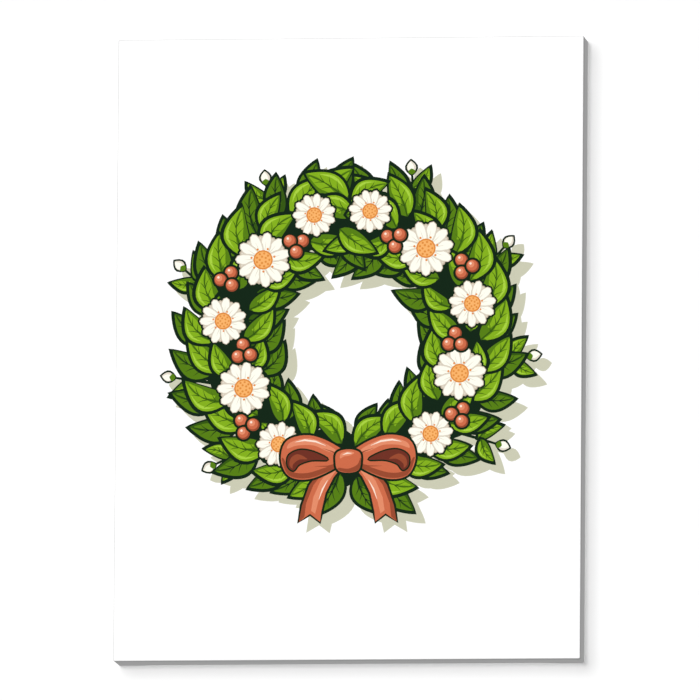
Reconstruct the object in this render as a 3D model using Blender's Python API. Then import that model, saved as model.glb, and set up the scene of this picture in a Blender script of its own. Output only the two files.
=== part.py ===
"""A stretched canvas wall print: canvas wrapped round four mitred stretcher bars.

The bars lock at each corner with a tongue and a slot, spread by two wooden keys.
The canvas folds over the bars to the back, where staples hold it. A sawtooth
hanger is nailed to the top bar, and four bumpers keep the back off the wall.

Metres, +Z up. The front faces -Y and the wall is on the +Y side. The origin is on
the middle notch of the hanger, where the wall's nail carries the print.
"""
import math
import random

import bmesh
import bpy
from mathutils import Matrix, Vector

# Overall size of the wrapped print
WIDTH = 0.457
HEIGHT = 0.610
DEPTH = 0.038

# Clearance left between neighbouring pieces
GAP = 0.0003

# Canvas
CLOTH = 0.0006
EDGE_ROUND = 0.001
FLAP = 0.020
FOLD_LEG = 0.022
FOLD_INSET = 0.001

# Stretcher bars
BAR_WIDTH = 0.038
LIP_WIDTH = 0.005
LIP_FALL = 0.0016
LIP_SLOPE = 0.0025
FACE_FALL = 0.004
LIP_ROUND = 0.0012
ARRIS = 0.0008

# Tongues and slots of the corner joints, u being the distance in from the outer face
TONGUE_THICK = 0.005
FRONT_LAYER = 0.0125
REAR_LAYER = 0.0235
TONGUE_TIP = 0.0043
TONGUE_SHOULDER = 0.008
TONGUE_ROOT = 0.007

# Corner keys
KEY_LENGTH = 0.035
KEY_TIP = 0.004
KEY_BUTT = 0.010
KEY_OUT = 0.009
KEY_CORNER = 0.0015

# Staples
CROWN = 0.010
LEG = 0.008
WIRE_THICK = 0.0006
WIRE_WIDE = 0.0012
LEG_POINT = 0.001
STAPLE_INSET = 0.010
CORNER_STAPLE_INSET = 0.008
STAPLES_ACROSS = 7
STAPLES_UP = 9
STAPLE_MARGIN = 0.050
STAPLE_TURN_DEG = 9.0
STAPLE_SHIFT = 0.0025
STAPLE_SEED = 5

# Sawtooth hanger and its nails
PLATE_LENGTH = 0.045
PLATE_HEIGHT = 0.010
PLATE_THICK = 0.0009
PLATE_RAISE = 0.0022
PLATE_FLAT = 0.0125
PLATE_FOOT = 0.0150
PLATE_CORNER = 0.003
TOOTH_PITCH = 0.0028
TOOTH_DEPTH = 0.0016
TEETH = 8
NAIL_PLACE = 0.0188
NAIL_HEAD = 0.0020
NAIL_HEAD_THICK = 0.0007
NAIL_SHANK = 0.0007
NAIL_LENGTH = 0.011
NAIL_POINT = 0.002
NAIL_SIDES = 12

# Bumpers
BUMPER_RADIUS = 0.005
BUMPER_TOP = 0.0042
BUMPER_THICK = 0.0032
BUMPER_SIDES = 20
BUMPER_FROM_SIDE = 0.034
BUMPER_FROM_EDGE = 0.010

# What follows from those sizes
BAR_DEPTH = DEPTH - 2 * (CLOTH + GAP)
BAR_SPAN_X = WIDTH - 2 * (CLOTH + GAP)
BAR_SPAN_Z = HEIGHT - 2 * (CLOTH + GAP)
BARS_BACK = -(GAP + PLATE_RAISE + PLATE_THICK / 2)
BARS_FRONT = BARS_BACK - BAR_DEPTH
CANVAS_BACK = BARS_BACK + GAP + CLOTH
CANVAS_FRONT = CANVAS_BACK - DEPTH
PLATE_MIDDLE = CLOTH + GAP + (FLAP + BAR_WIDTH) / 2
MITRE_BACK = GAP / math.sqrt(2)
KEY_BUTT_U = BAR_WIDTH + KEY_OUT
KEY_TIP_U = KEY_BUTT_U - KEY_LENGTH
NOTCH_DROP = PLATE_MIDDLE + PLATE_HEIGHT / 2 - TOOTH_DEPTH
CENTRE_Z = NOTCH_DROP - HEIGHT / 2
PLATE_Z = NOTCH_DROP - PLATE_MIDDLE

SIDES = (("top", 0), ("right", 90), ("bottom", 180), ("left", 270))


# Materials
def material(name, colour, roughness, metallic=0.0):
    made = bpy.data.materials.new(name)
    made.use_nodes = True
    shader = made.node_tree.nodes["Principled BSDF"]
    shader.inputs["Base Color"].default_value = (*colour, 1.0)
    shader.inputs["Roughness"].default_value = roughness
    shader.inputs["Metallic"].default_value = metallic
    return made


def all_materials():
    return {
        "canvas": material("canvas", (0.87, 0.87, 0.85), 0.9),
        "pine": material("pine", (0.72, 0.52, 0.31), 0.7),
        "beech": material("beech", (0.66, 0.44, 0.26), 0.6),
        "staple_wire": material("staple_wire", (0.62, 0.62, 0.63), 0.35, 1.0),
        "hanger_plate": material("hanger_plate", (0.66, 0.60, 0.42), 0.35, 1.0),
        "nail_steel": material("nail_steel", (0.55, 0.55, 0.56), 0.3, 1.0),
        "felt": material("felt", (0.62, 0.60, 0.56), 0.95),
    }


# Solids
def new_object(name, mesh_maker, finish=None):
    """Add an object whose mesh is what mesh_maker puts in a bmesh."""
    mesh = bpy.data.meshes.new(name)
    shape = bmesh.new()
    mesh_maker(shape)
    bmesh.ops.recalc_face_normals(shape, faces=shape.faces)
    shape.to_mesh(mesh)
    shape.free()
    made = bpy.data.objects.new(name, mesh)
    bpy.context.scene.collection.objects.link(made)
    if finish:
        mesh.materials.append(finish)
    return made


def add_loft(shape, loops):
    """Join closed loops of equal length into one skin, and cap both ends."""
    rings = [[shape.verts.new(point) for point in loop] for loop in loops]
    count = len(rings[0])
    for ring, following in zip(rings, rings[1:]):
        for i in range(count):
            j = (i + 1) % count
            shape.faces.new((ring[i], ring[j], following[j], following[i]))
    shape.faces.new(rings[0])
    shape.faces.new(rings[-1])


def add_box(shape, low, high, placing=Matrix()):
    """A box between two opposite corners, moved by placing."""
    size = Vector(high) - Vector(low)
    middle = (Vector(high) + Vector(low)) / 2
    moved = placing @ Matrix.Translation(middle) @ Matrix.Diagonal((*size, 1.0))
    bmesh.ops.create_cube(shape, size=1.0, matrix=moved)


def box(name, low, high, finish=None):
    return new_object(name, lambda shape: add_box(shape, low, high), finish)


def slab(name, outline, low_y, high_y, finish=None):
    """An outline in X and Z, extruded along Y."""
    loops = [[(x, y, z) for x, z in outline] for y in (low_y, high_y)]
    return new_object(name, lambda shape: add_loft(shape, loops), finish)


def turned(name, profile, sides, finish=None):
    """A solid turned about Y from (radius, y) points, with flat ends."""
    turns = [2 * math.pi * i / sides for i in range(sides)]
    loops = [[(r * math.cos(a), y, r * math.sin(a)) for a in turns] for r, y in profile]
    return new_object(name, lambda shape: add_loft(shape, loops), finish)


def apply_modifiers(target):
    bpy.context.view_layer.update()
    evaluated = target.evaluated_get(bpy.context.evaluated_depsgraph_get())
    target.data = bpy.data.meshes.new_from_object(evaluated)
    target.modifiers.clear()


def combine(target, cutters, operation):
    """Apply one Boolean per cutter, then remove the cutters."""
    for cutter in cutters:
        change = target.modifiers.new("combine", "BOOLEAN")
        change.operation = operation
        change.solver = "EXACT"
        change.object = cutter
        apply_modifiers(target)
        bpy.data.objects.remove(cutter)


def round_shading(target, degrees=35):
    target.data.shade_smooth()
    target.data.set_sharp_from_angle(angle=math.radians(degrees))


# Places round the frame
def side_placing(turn_deg):
    """From a side's own axes, X along it and -Z inward, to the part's frame."""
    upright = turn_deg % 180 == 90
    reach = (BAR_SPAN_X if upright else BAR_SPAN_Z) / 2
    turn = Matrix.Rotation(math.radians(turn_deg), 4, "Y")
    return Matrix.Translation((0, 0, CENTRE_Z)) @ turn @ Matrix.Translation((0, 0, reach))


def side_length(turn_deg):
    return BAR_SPAN_Z if turn_deg % 180 == 90 else BAR_SPAN_X


# Stretcher bars
def bar_section():
    """Points (u, v): u inward from the outer face, v back from the front lip."""
    arc = [math.radians(a) for a in (180, 225, 270)]
    lip = [(LIP_ROUND * (1 + math.cos(a)), LIP_ROUND * (1 + math.sin(a))) for a in arc]
    return lip + [
        (LIP_WIDTH, 0.0),
        (LIP_WIDTH + LIP_SLOPE, LIP_FALL),
        (BAR_WIDTH - ARRIS, FACE_FALL),
        (BAR_WIDTH, FACE_FALL + ARRIS),
        (BAR_WIDTH, BAR_DEPTH - ARRIS),
        (BAR_WIDTH - ARRIS, BAR_DEPTH),
        (ARRIS, BAR_DEPTH),
        (0.0, BAR_DEPTH - ARRIS),
    ]


def key_width(u):
    """Width of a key where it passes the distance u from the outer face."""
    return KEY_TIP + (KEY_BUTT - KEY_TIP) * (u - KEY_TIP_U) / KEY_LENGTH


def slot_outline():
    """Points (s, u), s being the distance along the bar from its outer corner."""
    mouth_u = BAR_WIDTH + 3 * GAP
    return [
        (TONGUE_SHOULDER - GAP, TONGUE_TIP - GAP),
        (BAR_WIDTH, TONGUE_TIP - GAP),
        (BAR_WIDTH + KEY_TIP + GAP, KEY_TIP_U - GAP),
        (BAR_WIDTH + key_width(mouth_u) + GAP, mouth_u),
        (TONGUE_SHOULDER - GAP, mouth_u),
    ]


def layer_range(layer, half):
    return BARS_FRONT + layer - half, BARS_FRONT + layer + half


def tongue(length, end, layer):
    """The tongue at one end of a bar, end being -1 or +1 along X."""
    tip = end * (length / 2 - TONGUE_TIP)
    root = end * (length / 2 - BAR_WIDTH - TONGUE_ROOT)
    low_y, high_y = layer_range(layer, TONGUE_THICK / 2)
    low = (min(tip, root), low_y, -(BAR_WIDTH - GAP))
    high = (max(tip, root), high_y, -TONGUE_SHOULDER)
    return box("tongue", low, high)


def slot(length, end, layer):
    """The cutter for the slot that takes the neighbour's tongue and its key."""
    low_y, high_y = layer_range(layer, TONGUE_THICK / 2 + GAP)
    outline = [(end * (length / 2 - s), -u) for s, u in slot_outline()]
    return slab("slot", outline, low_y, high_y)


def stretcher(side, turn_deg, pine, holes):
    length = side_length(turn_deg)
    section = bar_section()
    ends = [
        [(end * (length / 2 - u - MITRE_BACK), BARS_FRONT + v, -u) for u, v in section]
        for end in (-1, 1)
    ]
    bar = new_object(f"stretcher_{side}", lambda shape: add_loft(shape, ends), pine)
    combine(bar, [tongue(length, -1, FRONT_LAYER), tongue(length, 1, REAR_LAYER)], "UNION")
    combine(bar, [slot(length, -1, REAR_LAYER), slot(length, 1, FRONT_LAYER)], "DIFFERENCE")
    bar.data.transform(side_placing(turn_deg))
    combine(bar, holes, "DIFFERENCE")
    round_shading(bar)
    return bar


# Corner keys
def key(name, turn_deg, end, layer, beech):
    """The wedge in one slot, its straight side along the neighbour's tongue."""
    outline = [
        (BAR_WIDTH, KEY_TIP_U),
        (BAR_WIDTH + KEY_TIP, KEY_TIP_U),
        (BAR_WIDTH + key_width(KEY_BUTT_U - KEY_CORNER), KEY_BUTT_U - KEY_CORNER),
        (BAR_WIDTH + KEY_BUTT - KEY_CORNER, KEY_BUTT_U),
        (BAR_WIDTH, KEY_BUTT_U),
    ]
    length = side_length(turn_deg)
    placed = [(end * (length / 2 - s), -u) for s, u in outline]
    low_y, high_y = layer_range(layer, TONGUE_THICK / 2)
    made = slab(name, placed, low_y, high_y, beech)
    made.data.transform(side_placing(turn_deg))
    return made


# Staples
def staple_places():
    """Every staple: its name, its placing on the back, and its layers of cloth."""
    draw = random.Random(STAPLE_SEED)
    places = []
    for side, turn_deg in SIDES:
        count = STAPLES_UP if turn_deg % 180 == 90 else STAPLES_ACROSS
        run = side_length(turn_deg) - 2 * STAPLE_MARGIN
        for i in range(count):
            along = -run / 2 + run * i / (count - 1)
            along += draw.uniform(-STAPLE_SHIFT, STAPLE_SHIFT)
            turn = math.radians(draw.uniform(-STAPLE_TURN_DEG, STAPLE_TURN_DEG))
            spot = Matrix.Translation((along, 0, -STAPLE_INSET)) @ Matrix.Rotation(turn, 4, "Y")
            places.append((f"staple_{side}_{i + 1}", side_placing(turn_deg) @ spot, 1))
    for name, end_x, end_z in corners():
        inset = CORNER_STAPLE_INSET + CLOTH + GAP
        spot = Vector((end_x * (WIDTH / 2 - inset), 0, CENTRE_Z + end_z * (HEIGHT / 2 - inset)))
        turn = Matrix.Rotation(math.radians(45 * end_x * end_z), 4, "Y")
        places.append((f"staple_corner_{name}", Matrix.Translation(spot) @ turn, 2))
    return places


def corners():
    return [
        (f"{high}_{wide}", end_x, end_z)
        for high, end_z in (("top", 1), ("bottom", -1))
        for wide, end_x in (("left", -1), ("right", 1))
    ]


def staple(name, placing, layers, wire):
    crown_y = BARS_BACK + 2 * GAP + layers * CLOTH
    leg_y = crown_y - LEG
    outer, inner = CROWN / 2, CROWN / 2 - WIRE_THICK
    half = [
        (outer - LEG_POINT / 2, leg_y),
        (outer, leg_y + LEG_POINT),
        (outer, crown_y + WIRE_THICK / 2),
        (outer - WIRE_THICK / 2, crown_y + WIRE_THICK),
    ]
    other = [(-x, y) for x, y in reversed(half)]
    outline = half + other + [(-inner, leg_y + LEG_POINT / 2), (-inner, crown_y)]
    outline += [(inner, crown_y), (inner, leg_y + LEG_POINT / 2)]
    loops = [[(x, y, z) for x, y in outline] for z in (-WIRE_WIDE / 2, WIRE_WIDE / 2)]
    made = new_object(name, lambda shape: add_loft(shape, loops), wire)
    made.data.transform(placing)
    return made


def staple_holes():
    """One cutter for the way of every staple leg through the cloth into the bars."""
    def legs(shape):
        for _, placing, layers in staple_places():
            top = BARS_BACK + 2 * GAP + layers * CLOTH
            for end in (-1, 1):
                middle = end * (CROWN / 2 - WIRE_THICK / 2)
                half_x = WIRE_THICK / 2 + GAP
                half_z = WIRE_WIDE / 2 + GAP
                low = (middle - half_x, top - LEG - GAP, -half_z)
                high = (middle + half_x, top + 2 * GAP, half_z)
                add_box(shape, low, high, placing)
    return new_object("staple_holes", legs)


# Canvas
def fold(end_x, end_z):
    """The extra layer where the cloth is folded over itself at a back corner."""
    def at(along_x, along_z):
        return (end_x * (WIDTH / 2 - along_x), CENTRE_Z + end_z * (HEIGHT / 2 - along_z))
    outline = [at(FOLD_INSET, FOLD_INSET), at(FOLD_LEG, FOLD_INSET), at(FOLD_INSET, FOLD_LEG)]
    return slab("fold", outline, CANVAS_BACK - CLOTH / 2, CANVAS_BACK + CLOTH)


def canvas(cloth, holes):
    """The cloth as one sheet: front, four sides, and flaps turned over the back."""
    half_x, half_z = WIDTH / 2, HEIGHT / 2
    low = (-half_x, CANVAS_FRONT, CENTRE_Z - half_z)
    high = (half_x, CANVAS_BACK, CENTRE_Z + half_z)
    wrap = box("canvas", low, high, cloth)
    rounding = wrap.modifiers.new("rounding", "BEVEL")
    rounding.width = EDGE_ROUND
    rounding.segments = 2
    apply_modifiers(wrap)
    inside = box(
        "inside",
        (CLOTH - half_x, CANVAS_FRONT + CLOTH, CENTRE_Z - half_z + CLOTH),
        (half_x - CLOTH, CANVAS_BACK - CLOTH, CENTRE_Z + half_z - CLOTH),
    )
    window = box(
        "window",
        (FLAP - half_x, CANVAS_BACK - 3 * CLOTH, CENTRE_Z - half_z + FLAP),
        (half_x - FLAP, CANVAS_BACK + CLOTH, CENTRE_Z + half_z - FLAP),
    )
    combine(wrap, [inside, window], "DIFFERENCE")
    combine(wrap, [fold(end_x, end_z) for _, end_x, end_z in corners()], "UNION")
    combine(wrap, holes, "DIFFERENCE")
    round_shading(wrap)
    return wrap


# Sawtooth hanger and its nails
def hanger_outline():
    """The plate seen from behind: rounded ends, and teeth along the lower edge."""
    half = PLATE_LENGTH / 2
    low, high = PLATE_Z - PLATE_HEIGHT / 2, PLATE_Z + PLATE_HEIGHT / 2
    quarter = [math.radians(a) for a in (0, 30, 60, 90)]
    r = PLATE_CORNER
    top_right = [(half - r + r * math.cos(a), high - r + r * math.sin(a)) for a in quarter]
    low_right = [(half - r + r * math.sin(a), low + r - r * math.cos(a)) for a in quarter]
    right = low_right + top_right
    left = [(-x, z) for x, z in reversed(right)]
    start = -TEETH * TOOTH_PITCH / 2
    teeth = []
    for i in range(TEETH):
        teeth.append((start + i * TOOTH_PITCH, low + TOOTH_DEPTH))
        teeth.append((start + (i + 0.5) * TOOTH_PITCH, low))
    teeth.append((-start, low + TOOTH_DEPTH))
    return right + left + teeth


def hanger(plate_metal):
    foot = BARS_BACK + GAP
    near = [
        (PLATE_LENGTH / 2, foot),
        (PLATE_FOOT, foot),
        (PLATE_FLAT, foot + PLATE_RAISE),
        (-PLATE_FLAT, foot + PLATE_RAISE),
        (-PLATE_FOOT, foot),
        (-PLATE_LENGTH / 2, foot),
    ]
    far = [(x, y + PLATE_THICK) for x, y in reversed(near)]
    half_z = PLATE_HEIGHT
    loops = [[(x, y, PLATE_Z + z) for x, y in near + far] for z in (-half_z, half_z)]
    plate = new_object("hanger_plate", lambda shape: add_loft(shape, loops), plate_metal)
    blank = slab("blank", hanger_outline(), foot - PLATE_RAISE, foot + 2 * PLATE_RAISE)
    combine(plate, [blank], "INTERSECT")
    combine(plate, [nail_hole(end) for end in (-1, 1)], "DIFFERENCE")
    round_shading(plate)
    return plate


def nail_hole(end):
    """The cutter for a nail's way through the plate and into the top bar."""
    head_y = BARS_BACK + 2 * GAP + PLATE_THICK
    profile = [
        (NAIL_SHANK + GAP, head_y - NAIL_LENGTH - GAP),
        (NAIL_SHANK + GAP, head_y + GAP),
    ]
    cutter = turned("nail_hole", profile, NAIL_SIDES)
    cutter.data.transform(Matrix.Translation((end * NAIL_PLACE, 0, PLATE_Z)))
    return cutter


def nail(name, end, steel):
    head_y = BARS_BACK + 2 * GAP + PLATE_THICK
    profile = [
        (NAIL_SHANK / 4, head_y - NAIL_LENGTH),
        (NAIL_SHANK, head_y - NAIL_LENGTH + NAIL_POINT),
        (NAIL_SHANK, head_y),
        (NAIL_HEAD, head_y),
        (NAIL_HEAD, head_y + NAIL_HEAD_THICK / 2),
        (NAIL_HEAD * 0.8, head_y + NAIL_HEAD_THICK),
    ]
    made = turned(name, profile, NAIL_SIDES, steel)
    made.data.transform(Matrix.Translation((end * NAIL_PLACE, 0, PLATE_Z)))
    round_shading(made)
    return made


# Bumpers
def bumper(name, end_x, end_z, felt):
    foot = CANVAS_BACK + GAP
    profile = [
        (BUMPER_RADIUS, foot),
        (BUMPER_RADIUS, foot + BUMPER_THICK * 0.6),
        (BUMPER_TOP, foot + BUMPER_THICK),
    ]
    made = turned(name, profile, BUMPER_SIDES, felt)
    spot_x = end_x * (WIDTH / 2 - BUMPER_FROM_SIDE)
    spot_z = CENTRE_Z + end_z * (HEIGHT / 2 - BUMPER_FROM_EDGE)
    made.data.transform(Matrix.Translation((spot_x, 0, spot_z)))
    round_shading(made)
    return made


def main():
    for old in list(bpy.data.objects):
        bpy.data.objects.remove(old)
    finishes = all_materials()

    canvas(finishes["canvas"], [staple_holes()])
    for side, turn_deg in SIDES:
        holes = [staple_holes()]
        if side == "top":
            holes += [nail_hole(end) for end in (-1, 1)]
        stretcher(side, turn_deg, finishes["pine"], holes)
        key(f"key_{side}_rear", turn_deg, -1, REAR_LAYER, finishes["beech"])
        key(f"key_{side}_front", turn_deg, 1, FRONT_LAYER, finishes["beech"])

    for name, placing, layers in staple_places():
        staple(name, placing, layers, finishes["staple_wire"])

    hanger(finishes["hanger_plate"])
    for side, end in (("left", -1), ("right", 1)):
        nail(f"hanger_nail_{side}", end, finishes["nail_steel"])
    for name, end_x, end_z in corners():
        bumper(f"bumper_{name}", end_x, end_z, finishes["felt"])


main()
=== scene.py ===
"""Looks of a stretched canvas wall print, laid out as a Blender add-on.

One operator makes or finishes each part of the print: the canvas with its printed
picture, the wooden bars and keys, the staples, the sawtooth hanger with its nails,
and the felt bumpers. The last one sets up the wall, the light and the camera.

Metres, +Z up. The printed front faces -Y and the wall stands on the +Y side.
"""
import cmath
import math
import random

import bmesh
import bpy
from bpy.props import FloatProperty, FloatVectorProperty, IntProperty, PointerProperty
from mathutils import Matrix, Vector
from mathutils.geometry import delaunay_2d_cdt


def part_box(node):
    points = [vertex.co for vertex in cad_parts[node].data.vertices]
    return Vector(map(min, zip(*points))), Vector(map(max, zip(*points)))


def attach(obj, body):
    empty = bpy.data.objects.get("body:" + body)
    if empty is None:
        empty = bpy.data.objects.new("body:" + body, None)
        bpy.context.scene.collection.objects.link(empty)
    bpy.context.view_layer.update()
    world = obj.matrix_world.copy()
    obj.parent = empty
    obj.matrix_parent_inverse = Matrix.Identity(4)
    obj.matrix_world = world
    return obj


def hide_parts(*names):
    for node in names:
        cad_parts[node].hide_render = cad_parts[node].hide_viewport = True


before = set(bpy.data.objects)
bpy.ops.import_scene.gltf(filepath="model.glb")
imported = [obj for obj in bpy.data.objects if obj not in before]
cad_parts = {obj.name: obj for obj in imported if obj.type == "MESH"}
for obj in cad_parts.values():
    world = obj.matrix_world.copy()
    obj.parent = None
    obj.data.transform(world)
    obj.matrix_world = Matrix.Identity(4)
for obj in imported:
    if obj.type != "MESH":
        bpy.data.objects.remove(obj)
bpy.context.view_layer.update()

bl_info = {
    "name": "Stretched Canvas Print",
    "version": (1, 0, 0),
    "blender": (4, 5, 0),
    "location": "3D View > Sidebar > Canvas Print",
    "description": "Makes a stretched canvas print round its solids and sets it on a wall",
    "category": "Object",
}

MM = 0.001
# In pixels
PHOTO_WIDTH = 700

# Where the solids are
CANVAS_LOW, CANVAS_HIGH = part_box("canvas")
HALF_X = (CANVAS_HIGH.x - CANVAS_LOW.x) / 2
HALF_Z = (CANVAS_HIGH.z - CANVAS_LOW.z) / 2
CENTRE_Z = (CANVAS_HIGH.z + CANVAS_LOW.z) / 2
FRONT = CANVAS_LOW.y
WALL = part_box("bumper_top_left")[1].y

SIDES = ("top", "right", "bottom", "left")
STAPLES = tuple(sorted(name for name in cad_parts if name.startswith("staple_")))
BUMPERS = ("bumper_top_left", "bumper_top_right", "bumper_bottom_left", "bumper_bottom_right")
NAILS = ("hanger_nail_left", "hanger_nail_right")

# Turns what faces up to face the front
TO_FRONT = (math.radians(90), 0, 0)
WHITE = (1.0, 1.0, 1.0, 1.0)


# Sizes and colours that a user would change
def linear(hex_colour):
    """An sRGB hex colour as the linear values that shaders use."""
    parts = [int(hex_colour[i:i + 2], 16) / 255 for i in (1, 3, 5)]
    return tuple(p / 12.92 if p <= 0.04045 else ((p + 0.055) / 1.055) ** 2.4 for p in parts)


def length(name, description, metres):
    return FloatProperty(name=name, description=description, default=metres,
                         unit="LENGTH", precision=5)


def angle(name, description, degrees):
    return FloatProperty(name=name, description=description, default=math.radians(degrees),
                         subtype="ANGLE")


def colour(name, description, hex_colour):
    return FloatVectorProperty(name=name, description=description, subtype="COLOR", size=3,
                               min=0.0, max=1.0, default=linear(hex_colour))


class ClothSettings(bpy.types.PropertyGroup):
    """The canvas as it lies over the bars"""
    thickness: length("Thickness", "Thickness of the cloth with its primer", 0.0005)
    front_radius: length("Front edge", "Radius of the front edges", 0.0006)
    back_radius: length("Back edge", "Radius of the back edges", 0.0010)
    corner_radius: length("Corner", "Radius of the four corners seen from the front", 0.0012)
    flap: length("Flap", "Width of the cloth turned over the back", 0.020)
    fold_rise: length("Fold rise", "How far the folded corners stand out", 0.0005)
    fold_leg: length("Fold leg", "Side of the folded triangle at each back corner", 0.022)
    slack: length("Slack", "How far the flaps stand up between two staples", 0.00025)
    fray: length("Fray", "How far the cut edge wanders", 0.0004)
    # Real threads lie about 0.8 mm apart, too fine to show, so they are drawn at twice that
    thread: length("Thread", "Pitch of the threads as drawn", 0.0016)
    # How dark the painted shade on the sides is just behind the front edge
    edge_shade_tone: FloatProperty(name="Edge tone", description="Tone of the handled front edges",
                             default=0.56, min=0.0, max=1.0, subtype="FACTOR")
    primer: colour("Primer", "White ground under the ink", "#EFEFEF")
    raw: colour("Raw cloth", "Back of the cloth, without primer", "#DDD3BD")


class PictureSettings(bpy.types.PropertyGroup):
    """The printed picture"""
    radius: length("Radius", "Radius of the wreath's middle line", 0.118)
    pen: length("Pen", "Width of the dark outlines", 0.0022)
    right: length("Right", "How far the picture sits right of the middle", 0.0005)
    up: length("Up", "How far the picture sits above the middle", 0.010)
    seed: IntProperty(name="Seed", description="Picks another fall of the leaves",
                      default=11, min=0)


class InkSettings(bpy.types.PropertyGroup):
    """The picture's inks"""
    line: colour("Outline", "Dark green outlines", "#0C2412")
    leaf_deep: colour("Deep leaf", "Shaded half of the back leaves", "#32560C")
    leaf_mid: colour("Leaf", "Shaded half of the front leaves", "#547D10")
    leaf_light: colour("Light leaf", "Lit half of the front leaves", "#82AE1B")
    leaf_glint: colour("Leaf glint", "Bright streak on the leaves", "#A6CF40")
    petal: colour("Petal", "Lit petals", "#FDFCEE")
    petal_shade: colour("Petal shade", "Shaded petals", "#E2DACB")
    petal_deep: colour("Petal seam", "Lines between the petals", "#C9BBA6")
    pollen: colour("Pollen", "Middle of the flowers", "#F6B36A")
    pollen_deep: colour("Pollen dots", "Dots in the middle of the flowers", "#E08A3C")
    clay: colour("Clay red", "Ribbon and berries", "#CC6A48")
    clay_light: colour("Light clay", "Lit ribbon", "#E28B68")
    clay_glint: colour("Clay glint", "Bright streaks of ribbon and berries", "#FBE3D3")
    clay_deep: colour("Deep clay", "Shaded ribbon", "#97492F")
    clay_dark: colour("Dark clay", "Hollow of the ribbon's loops", "#6E2F22")
    shadow: colour("Shadow", "Flat shadow behind the wreath", "#C9C9B2")


class WoodSettings(bpy.types.PropertyGroup):
    """Bars and keys"""
    ring: length("Year ring", "Spacing of the year rings in the bars", 0.0034)
    fibre: length("Fibre", "Width of one fibre streak", 0.0007)
    pine: colour("Pine", "Early wood of the bars", "#E4C594")
    pine_late: colour("Late pine", "Late wood of the bars", "#C08E50")
    knot: colour("Knot", "Knots in the bars", "#7A4A26")
    beech: colour("Beech", "Wood of the keys", "#D3A679")
    beech_fleck: colour("Beech fleck", "Short dark flecks in the keys", "#A97A4E")


class MetalSettings(bpy.types.PropertyGroup):
    """Staples, hanger, nails and bumpers"""
    bend: length("Bend", "Inside radius of a staple's bends", 0.0006)
    crown: length("Crown", "Outside width of a staple", 0.010)
    leg: length("Leg", "Length of a staple's legs", 0.008)
    wire_thick: length("Wire thickness", "Thickness of the staple wire", 0.0006)
    wire_wide: length("Wire width", "Width of the flattened staple wire", 0.0012)
    plate: length("Plate", "Thickness of the hanger plate", 0.0009)
    rise: length("Rise", "How far the hanger's middle stands off the bar", 0.0022)
    tooth: length("Tooth", "Depth of the hanger's teeth", 0.0016)
    pitch: length("Tooth pitch", "Distance from tooth to tooth", 0.0028)
    zinc: colour("Zinc", "Galvanised staple wire", "#C9CBCC")
    brass: colour("Brass", "Plating of hanger and nails", "#E3BC62")
    tarnish: colour("Tarnish", "Dull patches of the plating", "#B98A45")
    felt: colour("Felt", "Felt of the bumpers", "#A8A297")
    felt_dark: colour("Dark felt", "Dark fibres of the felt", "#7F796F")


class StageSettings(bpy.types.PropertyGroup):
    """Wall, light and camera"""
    azimuth: angle("Azimuth", "How far right the camera stands", 7.0)
    elevation: angle("Elevation", "How far up the camera stands", -7.0)
    roll: angle("Roll", "Turn of the camera about its own line", 0.425)
    distance: length("Distance", "From the print to the camera", 20.0)
    view_width: length("View width", "Width of the view at the print", 0.6813)
    wall_size: length("Wall", "Side of the square of wall behind the print", 6.0)
    wall: colour("Wall", "Wall paint", "#EBEBEB")


class CanvasPrintSettings(bpy.types.PropertyGroup):
    """All settings of the print"""
    cloth: PointerProperty(type=ClothSettings)
    picture: PointerProperty(type=PictureSettings)
    inks: PointerProperty(type=InkSettings)
    wood: PointerProperty(type=WoodSettings)
    metal: PointerProperty(type=MetalSettings)
    stage: PointerProperty(type=StageSettings)


# Modelling as by hand
def select_only(*pieces):
    """Select these objects and nothing else, the last one active."""
    if bpy.context.object and bpy.context.object.mode != "OBJECT":
        bpy.ops.object.mode_set(mode="OBJECT")
    bpy.ops.object.select_all(action="DESELECT")
    for piece in pieces:
        piece.select_set(True)
        bpy.context.view_layer.objects.active = piece


def begin(name, add, **settings):
    """Add a primitive at its size and place, named, and open it for editing."""
    select_only()
    add(**settings)
    piece = bpy.context.object
    piece.name = piece.data.name = name
    bpy.ops.object.transform_apply(location=True, rotation=True, scale=True)
    bpy.ops.object.mode_set(mode="EDIT")
    return piece


def pick(piece, kind, test):
    """In edit mode, select the verts, edges or faces that pass a test."""
    bpy.ops.mesh.select_mode(type={"verts": "VERT", "edges": "EDGE", "faces": "FACE"}[kind])
    bpy.ops.mesh.select_all(action="DESELECT")
    shape = bmesh.from_edit_mesh(piece.data)
    for item in getattr(shape, kind):
        item.select_set(test(item))
    shape.select_flush_mode()
    bmesh.update_edit_mesh(piece.data)


def extrude(by):
    bpy.ops.mesh.extrude_region_move(TRANSFORM_OT_translate={"value": by})


def begin_disc(name, middle, radius, thick, sides, rounding, steps):
    """Begin with a round disc parallel to the wall, its rear rim rounded."""
    piece = begin(name, bpy.ops.mesh.primitive_cylinder_add, vertices=sides, radius=radius,
                  depth=thick, location=middle, rotation=TO_FRONT)
    rear = middle[1] + thick / 2
    pick(piece, "edges", lambda edge: all(vert.co.y > rear - 1e-5 for vert in edge.verts))
    bpy.ops.mesh.bevel(offset=rounding, segments=steps, affect="EDGES")
    return piece


def turn_outwards():
    """In edit mode, turn all faces the same way, outwards on a closed piece."""
    bpy.ops.mesh.select_all(action="SELECT")
    bpy.ops.mesh.normals_make_consistent(inside=False)


def apply_modifier(piece, kind, **settings):
    """Add a modifier with these settings and apply it."""
    select_only(piece)
    change = piece.modifiers.new(kind.lower(), kind)
    for name, value in settings.items():
        setattr(change, name, value)
    bpy.ops.object.modifier_apply(modifier=change.name)


def soften(piece, width, degrees):
    """Round all edges that bend by more than so many degrees."""
    apply_modifier(piece, "BEVEL", width=width, segments=2, limit_method="ANGLE",
                   angle_limit=math.radians(degrees))


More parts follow.
